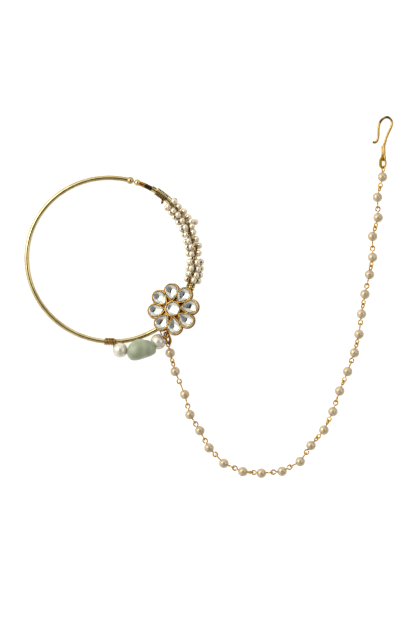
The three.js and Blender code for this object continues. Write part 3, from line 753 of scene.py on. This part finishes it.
def outlineFace(name, points, cornerAt):
    # a face within a closed curve, looking up
    line = curveThrough(name, points, True, cornerAt)
    line.data.resolution_u = 4
    bpy.ops.object.convert(target="MESH")
    face = bpy.context.object
    editAll()
    bpy.ops.mesh.remove_doubles(threshold=0.002 * mm)
    bpy.ops.mesh.edge_face_add()
    bpy.ops.mesh.normals_make_consistent(inside=False)
    bpy.ops.object.mode_set(mode="OBJECT")
    if face.data.polygons[0].normal.z < 0:
        face.data.flip_normals()
    return face


def dropPoints(grow, level=0):
    # a petal: round outside and straight to a corner near the flower's middle, which is the last point
    radius, point = flower["width"] / 2, flower["point"]
    tangent = pi - acos(radius / point)
    middle, reach = Vector((flower["ring"], 0, level)), radius + grow
    turns = evenly(-tangent, tangent, 11)
    places = [(middle + Vector((cos(turn), sin(turn), 0)) * reach) * mm for turn in turns]
    return places + [(middle - Vector((point + grow * point / radius, 0, 0))) * mm]


def roundPoints(grow, level=0):
    return circle(flower["centre"] / 2 + grow, (0, 0, level))


# the two shapes of stone, each with its collet; deepest is where the foil's bowl is deepest, off the middle
petalShape = {"outline": dropPoints, "cornerAt": 11, "middle": (flower["ring"] * mm, 0, 0), "deepest": (0, 0)}
centreShape = {"outline": roundPoints, "cornerAt": None, "middle": (0, 0, 0), "deepest": (-1.29, -0.63)}
collet = {
    "grow": 0.32, "foot": 0.15,
    # the wall as (rise, swell), then the rim and the seat inside as (inset, way down)
    "wall": [(0.45, 1.0), (0.2, 1.05), (0.9, 0.985), (0.45, 1.0), (0.17, 0.99), (0.08, 0.965)],
    "inside": [(0.14, 0.1), (0.1, 0.9)],
}


def makeCollet(name, shape):
    piece = outlineFace(name, shape["outline"](collet["grow"], collet["foot"]), shape["cornerAt"])
    editAll()
    for rise, swell in collet["wall"]:
        extrude(z=rise * mm)
        bpy.ops.transform.resize(value=(swell, swell, 1), center_override=shape["middle"])
    for inset, down in collet["inside"]:
        bpy.ops.mesh.inset(thickness=inset * mm, depth=0)
        extrude(z=-down * mm)
    smoothBelow(42)
    return piece


petalCollet = makeCollet("petal_collet_master", petalShape)
for i, place in enumerate(petalPlaces):
    petal = copyTo(petalCollet, "nath_petal_collet_%d" % (i + 1), place)
    finishPiece(petal, "flower_setting", orangePlatedBrass)
drop(petalCollet)
centreCollet = setAt(makeCollet("nath_centre_collet", centreShape), flowerFrame)
finishPiece(centreCollet, "flower_setting", orangePlatedBrass)

thick, radius = flower["plateThick"] * mm, flower["plate"] / 2 * mm
pick()
bpy.ops.mesh.primitive_cylinder_add(vertices=48, radius=radius, depth=thick, location=(0, 0, 0))
plate = bpy.context.object
editAll()
bpy.ops.mesh.bevel(offset=flower["plateEdge"] * mm, segments=2)
smoothBelow(40)
setAt(plate, flowerFrame @ Matrix.Translation((0, 0, thick / 2)))
sleeveAngles = evenly(flower["at"] - flower["sleeveHalf"], flower["at"] + flower["sleeveHalf"], 11)
hoopSleeve = bentWire("hoop_sleeve", [onHoop(a) for a in sleeveAngles], flower["sleeve"], rounding=6)

eyeTurn = radians(flower["eyeAt"])
eyeX, eyeY = cos(eyeTurn), sin(eyeTurn)
eyeMiddle = (eyeX * flower["eyeReach"], eyeY * flower["eyeReach"], -flower["eyeDown"])
neckRun = [(flower["plate"] / 2 + past, height) for past, height in flower["neckFrom"]]
neckRun.append((flower["eyeReach"] - flower["eye"] / 2, -flower["eyeDown"]))
neckPoints = [inFlower(eyeX * reach, eyeY * reach, height) for reach, height in neckRun]
neck = bentWire("eye_neck", neckPoints, flower["neck"], rounding=3)
eyePoints = [flowerFrame @ point for point in circle(flower["eye"] / 2, eyeMiddle)]
eye = bentWire("flower_eye", eyePoints, flower["eyeWire"], rounding=4, closed=True)
plate = joinAs("nath_flower_plate", [plate, hoopSleeve])
finishPiece(plate, "flower_setting", orangePlatedBrass)
finishPiece(joinAs("nath_flower_eye", [neck, eye]), "flower_setting", wornGold)

# rope wire of two strands, soldered round the feet of the petals; half is how far round each petal it goes
rope = {"wire": 0.26, "out": 0.4, "level": 0.5, "perPetal": 48, "twists": 8, "half": 84}
ropeStrands = []
for side in (0, pi):
    points = []
    for petal in petalPlaces:
        for i in range(rope["perPetal"]):
            share = i / rope["perPetal"]
            around = radians(rope["half"] * (2 * share - 1))
            phase = side + 2 * pi * rope["twists"] * share
            reach = flower["width"] / 2 + rope["out"] + cos(phase) * rope["wire"] / 2
            level = rope["level"] + sin(phase) * rope["wire"] / 2
            spot = Vector((flower["ring"] + cos(around) * reach, sin(around) * reach, level)) * mm
            points.append(petal @ spot)
    ropeStrands.append(bentWire("rope", points, rope["wire"], rounding=1, steps=1, closed=True))
finishPiece(joinAs("nath_flower_rope", ropeStrands), "flower_setting", orangePlatedBrass)
say("flower setting soldered")

# Stones: glass with a broad table above, and silver foil under a shallow bowl. Shares are of the outline.
stone = {
    "play": 0.02, "floor": 1.44, "bowl": 0.3, "bowlShares": (0.12, 0.26, 0.4, 0.55, 0.7, 0.85, 0.985),
    "foilTop": 2.24,
    # level and share: the foil's top, the girdle, the edge of the table, the table
    "crown": [(2.24, 0.992), (2.36, 0.995), (2.63, 0.9), (2.66, 0.86)],
    "seat": 2.1, "askew": 2,
}


def makeStone(name, shape):
    levels = [(stone["floor"] + stone["bowl"] * share ** 2, share, 1 - share) for share in stone["bowlShares"]]
    levels += [(level, share, 0) for level, share in stone["crown"]]
    middle, deepest = Vector(shape["middle"]), Vector((*shape["deepest"], 0)) * mm
    loops = []
    for level, share, aside in levels:
        loop = outlineFace("stone_loop", shape["outline"](-stone["play"]), shape["cornerAt"])
        seat = Matrix.Translation(middle + deepest * aside + up * level * mm)
        loop.data.transform(seat @ Matrix.Diagonal((share, share, 1, 1)) @ Matrix.Translation(-middle))
        loops.append(loop)
    piece = joinAs(name, loops)
    editAll()
    bpy.ops.mesh.delete(type="EDGE_FACE")
    bpy.ops.mesh.select_all(action="SELECT")
    bpy.ops.mesh.convex_hull()
    bpy.ops.object.mode_set(mode="OBJECT")
    piece.data.materials.append(cutGlass)
    piece.data.materials.append(silverFoil)
    for face in piece.data.polygons:
        face.material_index = 1 if face.center.z < (stone["foilTop"] + 0.02) * mm else 0
    smoothBelow(24)
    return piece


petalStone = makeStone("petal_stone_master", petalShape)
seat = Matrix.Translation((flower["ring"] * mm, 0, stone["seat"] * mm))
for i, petal in enumerate(petalPlaces):
    # each stone sits a little askew in its collet
    askew = spun(stray(stone["askew"]), "X") @ spun(stray(stone["askew"]), "Y")
    piece = copyTo(petalStone, "nath_petal_stone_%d" % (i + 1), petal @ seat @ askew @ seat.inverted())
    finishPiece(piece, "petal_stone_%d" % (i + 1))
drop(petalStone)
finishPiece(setAt(makeStone("nath_centre_stone", centreShape), flowerFrame), "centre_stone")
say("stones cut")

# Flattened oval rings, each with one broad side
rings = {
    "thick": 0.45, "band": 0.56, "edge": 0.12,
    "jump": {"length": 4.4, "width": 3.1, "broad": 1.0, "side": 1, "roll": 52, "slope": 40},
    "hook": {"length": 3.9, "width": 3.2, "broad": 1.25, "side": -1, "roll": -38, "slope": 0},
    # where the flower's eye holds the jump ring, in the ring's own frame, and where the hook ring lies
    "jumpHeld": (-1.0999, 0.96, 0), "hookMiddle": (56.468, 43.529, 1.524),
}


def ringTurn(shape):
    return spun(shape["slope"], "X") @ spun(-shape["roll"], "Y")


def holeMiddle(shape):
    return -shape["side"] * (shape["broad"] - rings["band"]) / 2


jumpTurn, hookTurn = ringTurn(rings["jump"]), ringTurn(rings["hook"])
jumpMiddle = inFlower(*eyeMiddle) - jumpTurn @ (Vector(rings["jumpHeld"]) * mm)
ringPlaces = {
    "jump": Matrix.Translation(jumpMiddle) @ jumpTurn,
    "hook": Matrix.Translation(Vector(rings["hookMiddle"]) * mm) @ hookTurn,
}


def makeRing(name, ring):
    # outer and inner ellipse bridged, thickened and its edges rounded
    shape = rings[ring]
    pick()
    bpy.ops.mesh.primitive_circle_add(vertices=48, radius=1, location=(0, 0, 0))
    piece = bpy.context.object
    piece.name = name
    setAt(piece, Matrix.Diagonal((shape["width"] / 2 * mm, shape["length"] / 2 * mm, 1, 1)))
    holeX = holeMiddle(shape) * mm
    holeWidth = (shape["width"] - shape["broad"] - rings["band"]) / shape["width"]
    holeLength = (shape["length"] - 2 * rings["band"]) / shape["length"]
    editAll()
    bpy.ops.mesh.duplicate_move(TRANSFORM_OT_translate={"value": (holeX, 0, 0)})
    bpy.ops.transform.resize(value=(holeWidth, holeLength, 1), center_override=(holeX, 0, 0))
    bpy.ops.mesh.select_all(action="SELECT")
    bpy.ops.mesh.bridge_edge_loops()
    bpy.ops.object.mode_set(mode="OBJECT")
    modify(piece, "SOLIDIFY", thickness=rings["thick"] * mm, offset=0)
    modify(piece, "BEVEL", width=rings["edge"] * mm, segments=3, limit_method="ANGLE")
    editAll()
    bpy.ops.mesh.normals_make_consistent(inside=False)
    smoothBelow(50)
    return setAt(piece, ringPlaces[ring])


finishPiece(makeRing("nath_jump_ring", "jump"), "jump_ring", wornGold)
finishPiece(makeRing("nath_hook_ring", "hook"), "hook_ring", ringPlate)
say("oval rings flattened")

# Chain: pearls of about 3 mm, each on its own eye pin. The third number rolls the eye beyond the pearl.
chain = {
    "pearl": 3.1, "pearlTurn": 1.3, "wire": 0.46,
    # the eyes are laid out for the wire of the solids, which is a little thinner than what shows
    "gauge": 0.38, "eyeWidth": 1.74, "eyeLength": 1.92, "play": 0.1,
    "endWidth": 1.7, "endLength": 2.2, "footGap": 0.16,
    # the shank runs from inside the pearl and bends before the eye, which lies a little above it
    "shankFrom": 4.0, "bendFrom": 0.75, "bendTo": 0.22, "lift": 0.02, "eyeTurns": (-146, 154),
    "height": 1.56, "shift": (0.0984, 0.0988),
    "route": [
        (-12.6, -18.3, 45), (-11.0, -24.3, 0), (-7.9, -31.7, 90), (-6.2, -38.3, 90), (-3.0, -43.5, 90),
        (0.0, -49.1, 0), (4.8, -54.1, 90), (11.0, -56.8, 65), (17.0, -57.3, 90), (23.7, -56.7, 0),
        (29.6, -53.5, 90), (33.1, -48.3, 50), (37.3, -43.3, 65), (40.2, -37.3, 10), (42.4, -30.6, 60),
        (45.0, -24.3, 90), (47.2, -18.2, 45), (48.7, -12.2, 90), (49.5, -5.6, 50), (50.6, 0.8, 0),
        (52.1, 7.2, 45), (53.1, 12.8, 0), (53.1, 19.6, 45), (54.9, 25.7, 0), (54.7, 32.3, 60),
        (56.3, 38.9, 0),
    ],
}


def makeEye(name, length, width):
    # eye of a pin lying flat, its far side at X = 0, its shank running back along -X
    a, b, lift = (length - chain["gauge"]) / 2, (width - chain["gauge"]) / 2, chain["lift"]
    bendFrom, bendTo = -2 * a - chain["bendFrom"], -2 * a - chain["bendTo"]
    points = [(-chain["shankFrom"], 0, 0), (bendFrom, 0, 0), (bendTo, lift, 0)]
    for turn in evenly(*chain["eyeTurns"], 16):
        angle = radians(turn)
        points.append((-a + a * cos(angle), b * sin(angle), lift))
    return bentWire(name, [Vector(point) * mm for point in points], chain["wire"], rounding=3)


pinEye = makeEye("pin_eye_master", chain["eyeLength"], chain["eyeWidth"])
endEye = makeEye("end_eye_master", chain["endLength"], chain["endWidth"])
chainMaster = makeDrilledPearl(
    "chain_pearl_master", champagneNacre, hole=0.19, segments=32, rings=20, unevenness=0.02)
shift = Vector((*chain["shift"], chain["height"]))
chainPlaces = [(Vector((x, y, 0)) + shift) * mm for x, y, roll in chain["route"]]


def eyeTowards(pearl, target, roll):
    # the eye lies flat at roll 0 and stands on edge at roll 90
    along = (target - pearl).normalized()
    across = Matrix.Rotation(radians(roll), 3, along) @ up.cross(along)
    reach = ((target - pearl).length + (chain["gauge"] + chain["play"]) * mm) / 2
    return copyTo(pinEye, "eye", axesAt(pearl + along * reach, along, across))


def eyeRoundRing(pearl, ring):
    # the eye holds the narrow foot of the ring's oval hole
    shape, place = rings[ring], ringPlaces[ring]
    foot = place @ (Vector((holeMiddle(shape), -(shape["length"] - rings["band"]) / 2, 0)) * mm)
    along = (foot - pearl).normalized()
    normal = place.to_3x3() @ up
    across = normal - along * normal.dot(along)
    reach = (foot - pearl).length + ((rings["band"] + chain["gauge"]) / 2 + chain["footGap"]) * mm
    return copyTo(endEye, "eye", axesAt(pearl + along * reach, along, across))


rolls = [roll for x, y, roll in chain["route"]]
last = len(chainPlaces) - 1
for i, pearl in enumerate(chainPlaces):
    before, after = chainPlaces[max(i - 1, 0)], chainPlaces[min(i + 1, last)]
    # each eye stands crosswise to the one that it hangs in
    first = eyeTowards(pearl, before, 90 - rolls[i - 1]) if i > 0 else eyeRoundRing(pearl, "jump")
    second = eyeTowards(pearl, after, rolls[i]) if i < last else eyeRoundRing(pearl, "hook")
    number = "%02d" % (i + 1)
    node = "chain_link_" + number
    finishPiece(joinAs("nath_eye_pin_" + number, [first, second]), node, chainWire)
    place = axesAt(pearl, after - before, up) @ Matrix.Rotation(i * chain["pearlTurn"], 4, "X")
    bead = copyTo(chainMaster, "nath_chain_pearl_" + number, place @ Matrix.Scale(chain["pearl"] / 2 * mm, 4))
    finishPiece(bead, node)
drop(pinEye, endEye, chainMaster)
say("chain of %d pearls linked" % len(chainPlaces))

# Ear hook: tail and wire twisted above a loop, then a tall bend and a curled tip
earHook = {
    "wire": 0.8, "height": 13.2, "width": 6.5, "bendLevel": 0.44,
    "foot": (0.345, 1.67, 0),  # in the hook ring's own frame
    "loop": 1.5, "loopTurns": (140, 400),
    # the twist: where it starts and how long it is above the foot, and the level that it comes down to
    "twistStart": 1.05, "twistLength": 3.5, "twistTurns": 0.14, "twistRadius": 0.3, "twistLevel": 0.7,
    # shares of the twist that the wire's tail and shank take, and the side on which each starts
    "tail": (0.8, 0), "tailSide": 126, "shank": (0, 0.75), "shankSide": -54,
    # the bend, as shares of the width and height
    "route": [
        (0.082, 0.37), (0.122, 0.445), (0.182, 0.535), (0.272, 0.64), (0.376, 0.745), (0.43, 0.825),
        (0.428, 0.895), (0.34, 0.965), (0.195, 1.004), (0.015, 0.975), (-0.125, 0.91), (-0.21, 0.81),
        (-0.245, 0.67), (-0.25, 0.55), (-0.295, 0.445), (-0.375, 0.39), (-0.465, 0.38), (-0.535, 0.395),
    ],
}
hookFoot = ringPlaces["hook"] @ (Vector(earHook["foot"]) * mm)
hookSide = (ringPlaces["hook"].to_3x3() @ up).normalized()
ahead = Vector((0, 1, 0))
hookFront = hookSide.cross(ahead)


def twistPoint(share, side):
    turn = radians(side + share * earHook["twistTurns"] * 360)
    axis = hookFoot + ahead * (earHook["twistStart"] + share * earHook["twistLength"]) * mm
    axis.z += (earHook["twistLevel"] * mm - hookFoot.z) * share
    return axis + (hookSide * cos(turn) + hookFront * sin(turn)) * earHook["twistRadius"] * mm


def bendPoint(x, y):
    level = earHook["bendLevel"] * mm
    return Vector((hookFoot.x + x * earHook["width"] * mm, hookFoot.y + y * earHook["height"] * mm, level))


hookPoints = [twistPoint(share, earHook["tailSide"]) for share in evenly(*earHook["tail"], 9)]
for turn in evenly(*earHook["loopTurns"], 9):
    across = hookSide * cos(radians(turn)) + ahead * sin(radians(turn))
    hookPoints.append(hookFoot + across * earHook["loop"] / 2 * mm)
hookPoints += [twistPoint(share, earHook["shankSide"]) for share in evenly(*earHook["shank"], 7)]
hookPoints += [bendPoint(x, y) for x, y in earHook["route"]]
earHookWire = bentWire("nath_ear_hook", hookPoints, earHook["wire"], rounding=4, steps=5)
finishPiece(earHookWire, "ear_hook", hookWire)
say("ear hook bent")

# Studio: an opal white floor lit faintly from beneath, a soft surround that is dark overhead, two soft boxes
studio = {
    "floor": 1.6, "floorColour": "#B6B6B4", "floorGlow": 0.8,
    "overhead": 0.05, "horizon": 0.7, "dimSide": 0.46, "brightSide": 1.25, "brightTowards": (-0.8, 0.6, 0),
    "boxes": [  # place, size, watts
        ((-0.62, 0.3, 0.6), 0.7, 4.4),
        ((0.66, 0.05, 0.62), 0.45, 1.1),
    ],
    "camera": (-0.228 * mm, -4.876 * mm, 1.5), "lens": 266.2,
}
pick()
bpy.ops.mesh.primitive_plane_add(size=studio["floor"], location=(0, 0, 0))
floor = bpy.context.object
floor.name = "floor"
opal = newMaterial("opalAcrylic", {
    "Base Color": colour(studio["floorColour"]), "Roughness": 0.9, "Specular IOR Level": 0.1,
    "Emission Color": (1, 1, 1, 1), "Emission Strength": studio["floorGlow"],
})
floor.data.materials.append(opal[0])

world = bpy.data.worlds.new("studio")
bpy.context.scene.world = world
world.use_nodes = True
tree = world.node_tree
direction = addNode(tree, "ShaderNodeTexCoord").outputs["Generated"]
height = sidesOf(tree, direction)["Z"]
towards = vectorMaths(tree, "DOT_PRODUCT", direction, studio["brightTowards"])
ceiling = remap(tree, height, 0.915, 0.83, studio["overhead"], 1, "SMOOTHSTEP")
walls = remap(tree, height, 0, 0.5, studio["horizon"], 1, "SMOOTHSTEP")
sideways = remap(tree, towards, -0.55, 0.5, studio["dimSide"], studio["brightSide"], "SMOOTHSTEP")
brightness = maths(tree, "MULTIPLY", maths(tree, "MULTIPLY", ceiling, walls), sideways)
connect(tree, tree.nodes["Background"], {"Strength": brightness})
tree.nodes["Background"].inputs["Color"].default_value = (1, 1, 1, 1)
for place, size, watts in studio["boxes"]:
    aim = Vector(place).to_track_quat("Z", "Y").to_euler()
    bpy.ops.object.light_add(type="AREA", location=place, rotation=aim)
    box = bpy.context.object
    box.data.size = size
    box.data.energy = watts

bpy.ops.object.camera_add(location=studio["camera"], rotation=(0, 0, 0))
camera = bpy.context.object
camera.data.lens = studio["lens"]
bpy.context.scene.camera = camera
bpy.context.scene.view_settings.view_transform = "Standard"
say("studio lit")
